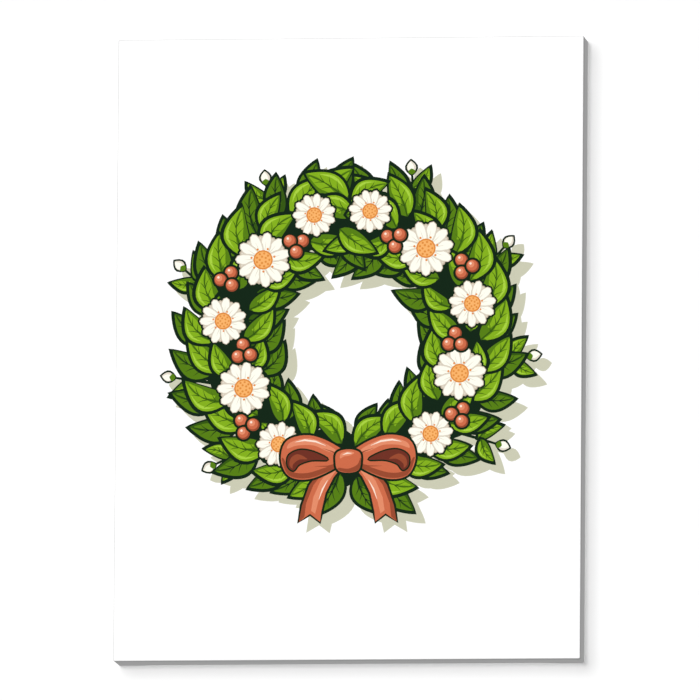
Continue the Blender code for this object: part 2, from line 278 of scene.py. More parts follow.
def smooth(piece, degrees=32):
    select_only(piece)
    bpy.ops.object.shade_smooth_by_angle(angle=math.radians(degrees))


def middle_of(name):
    """The middle of a solid's box."""
    low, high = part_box(name)
    return (low + high) / 2


def hand_over(piece, finishes, slot, *nodes):
    """Give a finished piece its materials and its body, and hide the solids it stands for."""
    # Clearing an empty list too would forget which material each face has
    if piece.data.materials:
        piece.data.materials.clear()
    for finish in finishes:
        piece.data.materials.append(finish)
    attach(piece, "root")
    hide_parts(*nodes)


def linked(name, data):
    """A new object in the scene."""
    made = bpy.data.objects.new(name, data)
    bpy.context.scene.collection.objects.link(made)
    return made


def copied(piece, name, placing):
    """A copy with its own mesh, moved by placing."""
    mesh = piece.data.copy()
    mesh.name = name
    mesh.transform(placing)
    return linked(name, mesh)


# Materials
def fill(tree, socket, value):
    """Give an input a value, or link it to a socket or to a node's first output in use."""
    if isinstance(value, bpy.types.Node):
        value = next(out for out in value.outputs if out.enabled)
    if isinstance(value, bpy.types.NodeSocket):
        tree.links.new(value, socket)
    elif socket.type == "RGBA":
        socket.default_value = (*value, 1.0)
    else:
        socket.default_value = value


def node(tree, kind, *values, **named):
    """Add a shader node, set it up, and fill or link its inputs.

    Values without a name go to the inputs in use, in their order. Among the others, a name
    in small letters is a setting and one with a capital an input, with _ for a space.
    """
    made = tree.nodes.new("ShaderNode" + kind)
    for name, value in named.items():
        if name.islower():
            setattr(made, name, value)
    for socket, value in zip([socket for socket in made.inputs if socket.enabled], values):
        fill(tree, socket, value)
    for name, value in named.items():
        if not name.islower():
            fill(tree, made.inputs[name.replace("_", " ")], value)
    return made


def new_material(name):
    made = bpy.data.materials.new(name)
    made.use_nodes = True
    return made, made.node_tree


def finish_surface(tree, height, rise, **inputs):
    """Turn a height pattern into bump, and fill or link the Principled shader's inputs."""
    shader = tree.nodes["Principled BSDF"]
    inputs["Normal"] = node(tree, "Bump", Strength=1.0, Distance=rise, Height=height)
    for name, value in inputs.items():
        fill(tree, shader.inputs[name.replace("_", " ")], value)


def woven(tree, uv, pitch):
    """Plain weave on the flat cloth's own UV map: threads over and under, uneven."""
    wander = node(tree, "TexNoise", uv, noise_dimensions="2D", Scale=0.12 / pitch, Detail=2.0)
    drift = node(tree, "VectorMath", wander.outputs["Color"], (0.5 * pitch,) * 3, uv,
                 operation="MULTIPLY_ADD")
    turns = node(tree, "VectorMath", drift, math.pi / pitch, operation="SCALE")
    waves = node(tree, "VectorMath", turns, operation="SINE")
    split = node(tree, "SeparateXYZ", waves)
    return node(tree, "Math", split.outputs[0], split.outputs[1], operation="MULTIPLY")


def primed_canvas(cloth):
    """Cotton canvas with a matt white primer, printed: dry, faintly woven, no gloss."""
    made, tree = new_material("primed_cotton_canvas_printed")
    uv = node(tree, "UVMap", uv_map="cloth")
    weave = woven(tree, uv, cloth.thread)
    # Thicker threads, 45 mm long and 1.1 mm wide, along both ways of the cloth
    slubs = []
    for stretch in ((22.0, 900.0, 1.0), (900.0, 22.0, 1.0)):
        mapped = node(tree, "Mapping", uv, Scale=stretch)
        slubs.append(node(tree, "TexNoise", mapped, noise_dimensions="2D", Scale=1.0, Detail=1.0))
    slub = node(tree, "Math", *slubs, operation="MAXIMUM")
    height = node(tree, "Math", slub, 1.2, weave, operation="MULTIPLY_ADD")
    # The ink lies thinner on top of the threads than between them
    tone = node(tree, "MapRange", height, -1.0, 2.0, 0.975, 1.0)
    primer = node(tree, "VectorMath", cloth.primer, tone, operation="SCALE")
    # The ink holds the print, and on the sides the painted shade behind the front edge
    ink = node(tree, "Attribute", attribute_name="ink")
    printed = node(tree, "VectorMath", ink, primer, operation="MULTIPLY")
    finish_surface(tree, height, rise=0.00003, Base_Color=printed, Roughness=0.82,
                   Specular_IOR_Level=0.08)
    return made


def raw_canvas(cloth):
    """The same cotton without primer: cream, with its weave plain to see."""
    made, tree = new_material("raw_cotton_canvas_back")
    weave = woven(tree, node(tree, "UVMap", uv_map="cloth"), cloth.thread)
    tone = node(tree, "MapRange", weave, -1.0, 1.0, 0.84, 1.0)
    shade = node(tree, "VectorMath", cloth.raw, tone, operation="SCALE")
    finish_surface(tree, weave, rise=0.00008, Base_Color=shade, Roughness=0.95,
                   Specular_IOR_Level=0.2)
    return made


def grain_space(tree, along, squeeze, offset=(0.0, 0.0, 0.0)):
    """Object coordinates turned so that the grain runs along X, squeezed lengthways."""
    coords = node(tree, "TexCoord").outputs["Object"]
    turn = (0.0, math.radians(90) if along == "Z" else 0.0, 0.0)
    turned = node(tree, "Mapping", coords, offset, turn)
    return node(tree, "Mapping", turned, Scale=(squeeze, 1.0, 1.0))


def planed_pine(wood, along):
    """Planed softwood: pale early wood, narrow honey-brown late wood, a few knots."""
    made, tree = new_material(f"planed_pine_grain_{along.lower()}")
    # A saw-tooth wave repeats every 2 pi / 20 units at scale 1
    rings = node(tree, "TexWave", grain_space(tree, along, 0.06, (0.0, 0.035, 0.045)),
                 2 * math.pi / 20 / wood.ring, wave_type="RINGS", rings_direction="X",
                 wave_profile="SAW", Distortion=12.0, Detail=2.0, Detail_Scale=0.4)
    ridge = node(tree, "MapRange", rings.outputs["Fac"], 0.35, 1.0,
                 interpolation_type="SMOOTHSTEP")
    # Good and bad years: the rings differ in strength across the wood
    years = node(tree, "TexNoise", grain_space(tree, along, 0.04), Scale=0.45 / wood.ring,
                 Detail=1.0)
    strength = node(tree, "MapRange", years, 0.35, 0.62, 0.15, 1.0)
    late = node(tree, "Math", ridge, strength, operation="MULTIPLY")
    tone = node(tree, "Mix", late, wood.pine, wood.pine_late, data_type="RGBA")
    fibre = node(tree, "TexNoise", grain_space(tree, along, 0.02), Scale=1.0 / wood.fibre,
                 Detail=3.0)
    streak = node(tree, "MapRange", fibre, 0.3, 0.7, 0.86, 1.06)
    streaked = node(tree, "VectorMath", tone, streak, operation="SCALE")
    # Knots about 5 mm wide and 90 mm apart
    cells = node(tree, "TexVoronoi", grain_space(tree, along, 0.8, (0.013, 0.02, 0.031)),
                 Scale=11.0)
    knot = node(tree, "MapRange", cells, 0.10, 0.03, interpolation_type="SMOOTHSTEP")
    knotted = node(tree, "Mix", knot, streaked, wood.knot, data_type="RGBA")
    height = node(tree, "Math", late, 0.5, fibre, operation="MULTIPLY_ADD")
    finish_surface(tree, height, rise=0.00003, Base_Color=knotted, Roughness=0.62)
    return made


def sawn_beech(wood, along):
    """Sawn beech: even pinkish brown with short dark flecks."""
    made, tree = new_material(f"sawn_beech_grain_{along.lower()}")
    flecks = node(tree, "TexNoise", grain_space(tree, along, 0.12), Scale=1.0 / wood.fibre,
                  Detail=2.0)
    mark = node(tree, "MapRange", flecks, 0.52, 0.72)
    tone = node(tree, "Mix", mark, wood.beech, wood.beech_fleck, data_type="RGBA")
    finish_surface(tree, flecks, rise=0.0001, Base_Color=tone, Roughness=0.58)
    return made


def galvanised_wire(metal):
    """Zinc-coated steel wire, drawn and flattened: soft grey shine with dull patches."""
    made, tree = new_material("galvanised_steel_wire")
    coords = node(tree, "TexCoord").outputs["Object"]
    # Patches 1.1 mm wide
    spangle = node(tree, "TexNoise", coords, Scale=900.0, Detail=2.0)
    rough = node(tree, "MapRange", spangle, To_Min=0.28, To_Max=0.46)
    tone = node(tree, "MapRange", spangle, To_Min=0.85, To_Max=1.05)
    shade = node(tree, "VectorMath", metal.zinc, tone, operation="SCALE")
    finish_surface(tree, spangle, rise=0.00002, Base_Color=shade, Roughness=rough, Metallic=1.0)
    return made


def plated_brass(metal):
    """Pressed steel with thin brass plating: warm shine that dulls in patches."""
    made, tree = new_material("brass_plated_pressed_steel")
    coords = node(tree, "TexCoord").outputs["Object"]
    # Patches 4 mm wide
    patches = node(tree, "TexNoise", coords, Scale=260.0, Detail=4.0, Roughness=0.6)
    dull = node(tree, "MapRange", patches, 0.50, 0.75, To_Max=0.5,
                interpolation_type="SMOOTHSTEP")
    tone = node(tree, "Mix", dull, metal.brass, metal.tarnish, data_type="RGBA")
    rough = node(tree, "MapRange", dull, To_Min=0.26, To_Max=0.50)
    finish_surface(tree, patches, rise=0.000006, Base_Color=tone, Roughness=rough, Metallic=1.0)
    return made


def pressed_felt(metal):
    """Pressed wool felt: no shine, mottled by its fibres."""
    made, tree = new_material("pressed_wool_felt")
    coords = node(tree, "TexCoord").outputs["Object"]
    # Tufts 0.7 mm wide
    fibres = node(tree, "TexNoise", coords, Scale=1400.0, Detail=5.0, Roughness=0.7,
                  Distortion=1.5)
    tone = node(tree, "Mix", fibres, metal.felt, metal.felt_dark, data_type="RGBA")
    finish_surface(tree, fibres, rise=0.0004, Base_Color=tone, Roughness=0.97,
                   Specular_IOR_Level=0.2, Sheen_Weight=0.25)
    return made


# The picture: outlines in millimetres, each point one complex number with x to the right
# and z up. Each draw function yields pairs of ink and outline, painted one over another,
# and what none of them covers stays bare.
BARE = "bare"

# Places on each half of the wreath run from the bow at 0 up to the top at 1, and
# distances out are from its middle line.
# Sprigs: place, lean away from the ring in degrees, length
SPRIGS = ((0.25, 66, 42), (0.42, 64, 38), (0.62, 66, 38), (0.83, 62, 36))
# Layers of leaves: count, distance out, length, width, lean, in deep tones, first place
LEAF_LAYERS = (
    (15, 17, 44, 21, 58, True, 0.0),
    (12, -18, 38, 18, -62, True, 0.02),
    (14, 13, 45, 22, 34, False, 0.035),
    (11, -13, 40, 19, -36, False, 0.0),
    (9, 1, 42, 20, 6, False, 0.02),
)
# Daisies: place, distance out, radius
DAISIES = ((0.205, 6, 22), (0.38, -4, 26), (0.565, 7, 23), (0.755, -3, 27), (0.93, 8, 21))
# Bunches of berries: place, distance out
BERRIES = ((0.29, 14), (0.475, -14), (0.66, 15), (0.85, -12))

# The shadow's way from the leaves, and the smallest outline in square mm that casts one
SHADOW_SHIFT = 9 - 9j
SHADOW_LEAST = 100


def mix(a, b, share):
    return a + (b - a) * share


def sides_of(loop):
    """Each point of a closed outline with the next one."""
    return list(zip(loop, loop[1:] + loop[:1]))


def signed_area(points):
    return 0.5 * sum((a.conjugate() * b).imag for a, b in sides_of(points))


def moved(points, spot, turn=0.0, mirrored=False):
    """Points mirrored in the X axis where asked, turned, then shifted."""
    way = cmath.exp(1j * turn)
    return [spot + way * (p.conjugate() if mirrored else p) for p in points]


def placed(drawing, spot, turn=0.0, mirrored=False):
    """A drawing's outlines, all moved in one way."""
    return [(ink, moved(points, spot, turn, mirrored)) for ink, points in drawing]


def disc(middle, radius, count):
    return [middle + radius * cmath.exp(2j * math.pi * k / count) for k in range(count)]


def stroke(points, widths):
    """A pen stroke through points, with its width at each."""
    left, right = [], []
    for i, point in enumerate(points):
        along = points[min(i + 1, len(points) - 1)] - points[max(i - 1, 0)]
        across = 1j * along / abs(along) * widths[i] / 2
        left.append(point + across)
        right.append(point - across)
    return left + right[::-1]


def smooth_loop(corners, steps=4):
    """A closed smooth curve through a few corners."""
    points = []
    for i, b in enumerate(corners):
        a, c = corners[i - 1], corners[(i + 1) % len(corners)]
        d = corners[(i + 2) % len(corners)]
        for s in range(steps):
            t = s / steps
            points.append(0.5 * (2 * b + (c - a) * t + (2 * a - 5 * b + 4 * c - d) * t ** 2
                                 + (3 * b - a - 3 * c + d) * t ** 3))
    return points


def grown(points, by):
    """An outline moved outward by a pen's width."""
    side = -1j if signed_area(points) > 0 else 1j
    ahead = points[1:] + points[:1]
    behind = points[-1:] + points[:-1]
    return [p + side * by * (a - b) / abs(a - b) for p, a, b in zip(points, ahead, behind)]


class Leaf:
    """The measures of one leaf, stalk at 0 and tip along +X."""
    # Its two edges, as shares of the half width
    FULL, OTHER = (1.0, 0.0, 0.0, 0.0), (-1.0, 0.0, 0.0, 0.0)

    def __init__(self, reach, width, bend):
        self.reach, self.width, self.bend = reach, width, bend

    def rib(self, t):
        """The middle line at share t of the way from stalk to tip."""
        return complex(self.reach * t, self.bend * self.reach * math.sin(math.pi * t) * 0.5)

    def half(self, t):
        """Half the width there."""
        return self.width / 2 * math.sin(math.pi * t ** 0.8) ** 0.85 if 0 < t < 1 else 0.0

    def band(self, low=OTHER, high=FULL, start=0.0, stop=1.0, count=13):
        """The strip between two shares of the half width: base, wave, its beat and its lag."""
        near, far = [], []
        for i in range(count):
            t = mix(start, stop, i / (count - 1))
            for edge, (base, wave, beat, lag) in ((near, low), (far, high)):
                share = base + wave * math.sin(beat * t + lag)
                edge.append(self.rib(t) + 1j * self.half(t) * share)
        return far + near[::-1]


def draw_leaf(pen, reach, width, bend, deep=False):
    """One leaf, lit on one half, with its rib and side veins, stalk at 0 and tip along +X."""
    shaded, lit = ("leaf_deep", "leaf_mid") if deep else ("leaf_mid", "leaf_light")
    vein = "line" if deep else "leaf_deep"
    leaf = Leaf(reach, width, bend)
    edge = Leaf(reach + 3.4 * pen, width + 2.2 * pen, bend).band()
    yield "line", [p - 1.4 * pen for p in edge]
    yield shaded, leaf.band()
    yield lit, leaf.band((0.10, 0.12, 9, 0), Leaf.FULL, 0.06, 0.97, 11)
    yield lit, leaf.band((-0.62, -0.12, 10, 1), (-0.16, -0.10, 8, 0), 0.30, 0.90, 8)
    if not deep:
        glint = (0.62, 0.24, math.pi / 0.6, -math.pi / 3)
        yield "leaf_glint", leaf.band((0.62, 0, 0, 0), glint, 0.2, 0.8, 7)
    spine = [leaf.rib(t) for t in (0.0, 0.25, 0.5, 0.72, 0.93)]
    yield vein, stroke(spine, (1.5, 1.3, 1.0, 0.7, 0.2))
    for t in (0.24, 0.42, 0.60):
        for side in (1, -1):
            foot = leaf.rib(t)
            tip = leaf.rib(t + 0.17) + 0.72j * side * leaf.half(t + 0.17)
            middle = (foot + tip) / 2 - 0.06j * side * (tip - foot)
            yield vein, stroke([foot, middle, tip], (0.9, 0.7, 0.15))


def petal(reach, width, grow=0.0, count=12):
    """A round-ended petal along +X from the flower's middle."""
    points = []
    for i in range(count):
        a = 2 * math.pi * i / count
        swell = 0.55 + 0.45 * (0.5 + 0.5 * math.cos(a))
        points.append(complex(reach * 0.5 * (1 + math.cos(a)) + grow * math.cos(a),
                              (width / 2 * swell + grow) * math.sin(a)))
    return points


def draw_daisy(pen, radius, turn, petals=11):
    """A daisy round 0: one ring of outlined petals over another, and a dotted middle."""
    width = 2 * math.pi * radius / petals * 0.86
    step = 2 * math.pi / petals
    under = (("line", 1.0, 1.0, pen, 0.0), ("line", 0.9, 1.0, pen, 0.5),
             ("petal_deep", 0.9, 1.0, 0.0, 0.5), ("petal_shade", 0.84, 0.8, 0.0, 0.5))
    for ink, reach, wide, grow, offset in under:
        for i in range(petals):
            outline = petal(radius * reach, width * wide, grow)
            yield ink, moved(outline, 0, turn + step * (i + offset))
    upper = [("petal_deep", petal(radius, width, 0.45)), ("petal_shade", petal(radius, width)),
             ("petal", [p * 0.9 + radius * 0.1 for p in petal(radius * 0.98, width * 0.9)]),
             ("petal_shade", stroke([radius * 0.3 + 0j, radius * 0.52 + 0j, radius * 0.7 + 0.3j],
                                    (0.9, 0.6, 0.1)))]
    for i in range(petals):
        yield from placed(upper, 0, turn + step * i)
    middle = radius * 0.30
    yield "pollen_deep", disc(0, middle + pen * 0.7, 16)
    yield "pollen", disc(0, middle, 16)
    for count, share, lag in ((9, 0.78, 0.0), (5, 0.40, 0.5), (7, 1.42, 0.3)):
        for k in range(count):
            at = middle * share * cmath.exp(2j * math.pi * (k + lag) / count)
            yield "pollen_deep", disc(at, radius * 0.045, 6)


def draw_berry(pen, spot, radius):
    """A round berry, lit from the upper left."""
    for ink, off, share, count in (("line", 0, 1 + pen / radius, 18), ("clay_deep", 0, 1, 18),
                                   ("clay", -0.10 + 0.12j, 0.86, 16),
                                   ("clay_light", -0.24 + 0.28j, 0.52, 12),
                                   ("clay_glint", -0.34 + 0.40j, 0.20, 8)):
        yield ink, disc(spot + radius * off, radius * share, count)


def draw_bud():
    """A pale bud with a green cup, its stalk at 0 and its tip along +X."""
    for ink, width, reach, foot in (("line", 6.6, 17.5, -2.4), ("petal_shade", 4.6, 13, 0),
                                    ("petal", 3.2, 11, 1.2 + 0.7j), ("leaf_mid", 3.6, 6.0, -0.6)):
        rise = [complex(reach * t, width * math.sin(math.pi * t) ** 0.9)
                for t in (0.0, 0.1, 0.25, 0.42, 0.6, 0.78, 0.92, 1.0)]
        yield ink, [foot + p for p in rise + [p.conjugate() for p in rise[-2:0:-1]]]


def draw_sprig(pen, foot, turn, reach):
    """A short twig that stands out of the ring, with two leaves and a bud."""
    way = cmath.exp(1j * turn)
    yield "line", stroke([foot, foot + way * (reach / 2 + 3), foot + way * reach],
                         (3.2, 2.8, 2.2))
    yield from placed(draw_leaf(pen, 26, 12.5, 0.25), foot + 0.55 * reach * way, turn + 0.75)
    yield from placed(draw_leaf(pen, 25, 12, 0.25), foot + 0.62 * reach * way, turn - 0.75, True)
    yield from placed(draw_bud(), foot + way * reach, turn)


def draw_bow(pen):
    """A ribbon bow round 0: two tails, two loops and a knot."""
    tail = [4 - 4j, 14 - 16j, 22 - 32j, 26 - 50j, 27 - 60j, 37 - 52j, 48 - 60j, 45 - 44j,
            38 - 24j, 26 - 8j, 14 + 2j]
    loop = smooth_loop([3j, 14 + 16j, 38 + 25j, 60 + 20j, 66 + 2j, 58 - 15j, 38 - 18j,
                        14 - 8j], 5)
    hollow = smooth_loop([20 + 1j, 34 + 8.5j, 48 + 10.5j, 58.5 + 5j, 59 - 5j, 53.5 - 9.5j,
                          48 - 3.5j, 36 + 0.5j], 5)
    right_half = (
        ("line", grown(tail, pen)),
        ("clay", tail),
        ("clay_light", [12 - 10j, 22 - 24j, 29 - 40j, 32 - 52j, 36 - 49j, 34 - 36j, 27 - 20j,
                        17 - 7j]),
        ("clay_deep", [14 + 1j, 26 - 8j, 38 - 24j, 45 - 44j, 48 - 60j, 42.5 - 55j, 41 - 42j,
                       34 - 24j, 23 - 10j]),
        ("clay_glint", stroke([20 - 19j, 25 - 28j, 28.5 - 38j], (0.3, 1.5, 0.3))),
        ("line", grown(loop, pen)),
        ("clay", loop),
        ("clay_deep", smooth_loop([4 - 2j, 20 - 6j, 40 - 12j, 56 - 10j, 63 + 2j, 65 + 1j,
                                   58 - 14.4j, 38 - 17j, 14 - 8j])),
        ("clay_light", smooth_loop([10 + 8j, 20 + 15.5j, 38 + 22j, 56 + 18.5j, 60 + 12j,
                                    50 + 15j, 34 + 15j, 20 + 9j])),
        ("clay_glint", stroke([22 + 14.6j, 32 + 18.8j, 43 + 20.2j, 52 + 18.4j],
                              (0.3, 1.7, 1.7, 0.3))),
        ("line", grown(hollow, pen * 0.7)),
        ("clay_dark", hollow),
        ("clay_deep", smooth_loop([40 + 1.6j, 48 + 1.2j, 54 - 3.5j, 54.5 - 7.5j, 57.6 - 4j,
                                   56 + 3j, 49 + 6.5j])),
        ("clay_deep", stroke([9 - 3j, 20 - 5.5j, 33 - 5.5j], (1.8, 1.3, 0.2))),
        ("clay_deep", stroke([9 + 5.5j, 16 + 9j, 25 + 12j], (1.6, 1.0, 0.2))))
    for ink, points in right_half:
        yield ink, points
        yield ink, [-p.conjugate() for p in points]
    knot = smooth_loop([-11 + 8j, 11j, 11 + 8j, 12.5 - 1j, 10 - 9.5j, -12j, -10 - 9.5j,
                        -12.5 - 1j], 5)
    yield "line", grown(knot, pen)
    yield "clay", knot
    yield "clay_deep", smooth_loop([-9 - 7j, -8j, 9 - 4j, 12 + 3j, 12.4 - 2j, 10 - 9.3j, -11.7j,
                                    -10 - 9.3j])
    yield "clay_light", smooth_loop([-8 + 2j, -7 + 7j, 9j, 6 + 7.6j, 2 + 5j, -4 + 4j])
    yield "clay_glint", stroke([-5.6 + 5.6j, -1 + 7.2j, 3.4 + 7j], (0.3, 1.5, 0.3))


def half_ring(side, inner, outer, waves, depth, count=120):
    """The right or left half of a ring with waved edges."""
    out, into = [], []
    for k in range(count + 1):
        bearing = -math.pi / 2 + side * math.pi * k / count
        wave = depth * math.sin(waves * bearing)
        out.append((outer + wave) * cmath.exp(1j * bearing))
        into.append((inner - wave) * cmath.exp(1j * bearing))
    return out + into[::-1]


def on_ring(side, share, radius):
    """A place on the ring and the way along it, from the bow at 0 up to the top at 1."""
    bearing = -math.pi / 2 + side * math.pi * share
    return radius * cmath.exp(1j * bearing), bearing + side * math.pi / 2


def draw_wreath(settings):
    """The whole picture: a flat shadow, sprigs, leaves in layers, daisies, berries, a bow."""
    picture = []
    draw = random.Random(settings.seed)
    pen, ring = settings.pen / MM, settings.radius / MM
    for share, lean, reach in SPRIGS:
        for side in (1, -1):
            foot, way = on_ring(side, share + 0.02 * side, ring + 22)
            turn = way - side * math.radians(lean + draw.uniform(-6, 6))
            picture += draw_sprig(pen, foot, turn, reach)
    for side in (1, -1):
        picture.append(("line", half_ring(side, ring - 26, ring + 27, waves=34, depth=2.5)))
    for count, off, reach, width, lean, deep, start in LEAF_LAYERS:
        for i in range(count):
            for side in (1, -1):
                share = start + 0.02 + 0.95 * i / (count - 1)
                spot, way = on_ring(side, share, ring + off + draw.uniform(-4, 4))
                turn = way - side * math.radians(lean + draw.uniform(-12, 12))
                size = draw.uniform(0.84, 1.12)
                leaf = draw_leaf(pen, reach * size, width * size, draw.uniform(0.1, 0.35), deep)
                picture += placed(leaf, spot, turn, side * lean > 0)
    bow = placed(draw_bow(pen), -1j * (ring + 2))
    shadow = [("shadow", moved(points, SHADOW_SHIFT)) for ink, points in picture + bow
              if ink == "line" and abs(signed_area(points)) > SHADOW_LEAST]
    for share, off, radius in DAISIES:
        for side in (1, -1):
            spot, way = on_ring(side, share + 0.02 * side, ring + off)
            picture += placed(draw_daisy(pen, radius, way), spot)
    for share, off in BERRIES:
        for side in (1, -1):
            spot, way = on_ring(side, share + 0.015 * side, ring + off)
            for k in range(3):
                picture += draw_berry(pen, spot + 7.2 * cmath.exp(1j * (way + 2.1 * k)), 6.2)
    return placed(shadow + picture + bow, complex(settings.right, settings.up) / MM)


# The picture laid into the flat front
def net_of(points, edges, outlines, nearness):
    """A flat triangle net through all edges, inside the outlines.

    Returns its places, edges and triangles, and for each place, edge and triangle the
    points, edges and outlines that it came from.
    """
    flat = [Vector((p.real, p.imag)) for p in points]
    places, *rest = delaunay_2d_cdt(flat, edges, outlines, 1, nearness, True)
    return [complex(p.x, p.y) for p in places], *rest


def straighten(points, left):
    """Drop the places on a border that lie straight between their two neighbours."""
    joined = {}
    for a, b in left:
        joined.setdefault(a, set()).add(b)
        joined.setdefault(b, set()).add(a)
    for middle in list(joined):
        if len(joined[middle]) != 2:
            continue
        a, b = joined[middle]
        way = points[b] - points[a]
        off = ((points[middle] - points[a]).conjugate() * way).imag
        # Straight means off the line by no more than about a hundredth of a millimetre
        if abs(way) < 1e-9 or abs(off) > 0.012 * abs(way) or b in joined[a]:
            continue
        inks = left.get((a, middle)), left.get((b, middle))
        if inks != (left.get((middle, b)), left.get((middle, a))):
            continue
        for pair in ((a, middle), (middle, b), (b, middle), (middle, a)):
            left.pop(pair, None)
        for pair, ink in (((a, b), inks[0]), ((b, a), inks[1])):
            if ink is not None:
                left[pair] = ink
        joined[a] = joined[a] - {middle} | {b}
        joined[b] = joined[b] - {middle} | {a}
        joined[middle] = set()


def inked_borders(ground, picture):
    """Lay the ground and every outline into one net, where the ink painted last wins.

    Returns the net's places, the ink to the left of each border between two inks, and the
    rim as the place that follows each place.
    """
    inks, points, outlines = [BARE], list(ground), [list(range(len(ground)))]
    for ink, outline in picture:
        # Points closer together than this would only make slivers
        kept = [p for p, q in sides_of(outline) if abs(p - q) > 0.02]
        if signed_area(kept) < 0:
            kept.reverse()
        outlines.append(list(range(len(points), len(points) + len(kept))))
        points.extend(kept)
        inks.append(ink)
    places, _, triangles, _, _, sources = net_of(points, [], outlines, 0.001)
    left = {}
    for triangle, source in zip(triangles, sources):
        for side in sides_of(triangle):
            left[side] = inks[max(source)]
    rim = {a: b for a, b in left if (b, a) not in left}
    borders = {(a, b): ink for (a, b), ink in left.items()
               if (b, a) in left and left[b, a] != ink}
    straighten(places, borders)
    return places, borders, rim


def inks_of_patches(places, triangles, beside):
    """Each triangle's ink: the one that most of the borders round its patch have beside them."""
    owner = {side: t for t, triangle in enumerate(triangles) for side in sides_of(triangle)}
    found = [None] * len(triangles)
    for start in range(len(triangles)):
        if found[start]:
            continue
        patch, reached, votes = [start], {start}, {}
        for t in patch:
            for a, b in sides_of(triangles[t]):
                other = owner.get((b, a))
                if (a, b) in beside:
                    ink = beside[a, b]
                    votes[ink] = votes.get(ink, 0.0) + abs(places[a] - places[b])
                elif other is not None and other not in reached:
                    reached.add(other)
                    patch.append(other)
        ink = max(votes, key=votes.get, default=BARE)
        for t in patch:
            found[t] = ink
    return found


def flat_picture(ground, picture):
    """The picture cut into flat triangles inside the ground's outline, in millimetres.

    The borders between the inks are laid into a net of their own, which has no hidden
    edges. Returns its places, its triangles and each triangle's ink.
    """
    places, borders, rim = inked_borders(ground, picture)
    used = sorted({a for pair in borders for a in pair} | set(rim))
    rank = {old: new for new, old in enumerate(used)}
    loop = [next(iter(rim))]
    while rim[loop[-1]] != loop[0]:
        loop.append(rim[loop[-1]])
    pairs = [(a, b) for a, b in borders if a < b]
    points = [places[i] for i in used]
    places, edges, triangles, _, edge_sources, _ = net_of(
        points, [(rank[a], rank[b]) for a, b in pairs], [[rank[i] for i in loop]], 1e-6)
    beside = {}
    for (a, b), source in zip(edges, edge_sources):
        source = [i for i in source if i < len(pairs)]
        if source:
            low, high = pairs[source[0]]
            along = points[rank[high]] - points[rank[low]]
            if ((places[b] - places[a]).conjugate() * along).real < 0:
                low, high = high, low
            beside[a, b], beside[b, a] = borders[low, high], borders[high, low]
    return places, triangles, inks_of_patches(places, triangles, beside)


# The canvas
def side_marks(straight, step=6 * MM):
    """Shares from -1 to 1 along a side's straight part, close together near its ends."""
    # How far the first marks are from an end
    near = [0.0, 0.00015, 0.0015, 0.004, 0.008, 0.013, 0.019, 0.026, 0.034]
    rest = 2 * (straight - near[-1])
    count = round(rest / step)
    marks = [-straight + x for x in near]
    marks += [marks[-1] + rest * i / count for i in range(1, count)]
    marks += [straight - x for x in reversed(near)]
    return [m / straight for m in marks]


def cloth_ring(cloth, inset, arc=4):
    """A closed ring round the print, inset from its outer faces, as (point, side) pairs.

    Sides run right, top, left, bottom, and every ring has the same number of points.
    """
    radius = max(cloth.corner_radius - inset, 0.0002)
    halves = (HALF_X, HALF_Z)
    ring = []
    for side in range(4):
        out = halves[side % 2] - inset
        along = halves[1 - side % 2] - inset - radius
        way = 1j ** side
        for mark in side_marks(halves[1 - side % 2] - cloth.corner_radius):
            ring.append((way * complex(out, mark * along), side))
        for k in range(1, arc):
            turn = cmath.exp(0.5j * math.pi * k / arc)
            spot = way * (complex(out - radius, along) + radius * turn)
            ring.append((spot, side if 2 * k <= arc else (side + 1) % 4))
    return ring


def cloth_profile(cloth, back, rows=8):
    """The cloth's section from the front over a side to the flap: (inset, y, distance).

    The outer skin comes first, then the inner skin back the same way.
    """
    quarter = [math.radians(22.5 * k) for k in range(5)]

    def skin(depth):
        front, rear = cloth.front_radius, cloth.back_radius
        r = max(front - depth, 0.00005)
        path = [(front - r * math.sin(a), FRONT + front - r * math.cos(a)) for a in quarter]
        low, high = FRONT + front, back - rear
        path += [(depth, mix(low, high, k / 7)) for k in range(1, 7)]
        r = rear - depth
        path += [(rear - r * math.cos(a), back - rear + r * math.sin(a)) for a in quarter]
        path += [(mix(rear, cloth.flap, k / rows), back - depth) for k in range(1, rows + 1)]
        return path

    outer, inner = skin(0.0), skin(cloth.thickness)
    distance = [0.0]
    for a, b in zip(outer, outer[1:]):
        distance.append(distance[-1] + math.dist(a, b))
    out = [(*point, d) for point, d in zip(outer, distance)]
    into = [(*point, d) for point, d in zip(inner, distance)]
    return out, into[::-1]


def frayed_edge(cloth, count):
    """How far each point of the cut edge wanders, fading where the ring's ends meet."""
    draw = random.Random(3)
    # Points from one bend of the edge to the next
    reach = 6
    wave = [draw.uniform(-1, 1) for _ in range(count // reach + 2)]
    wander = []
    for i in range(count):
        k, share = divmod(i / reach, 1)
        fade = 1 - abs(2 * i / count - 1) ** 6
        drift = mix(wave[int(k)], wave[int(k) + 1], share) * fade
        wander.append(cloth.fray * (0.7 * drift + 0.3 * draw.uniform(-1, 1)))
    return wander


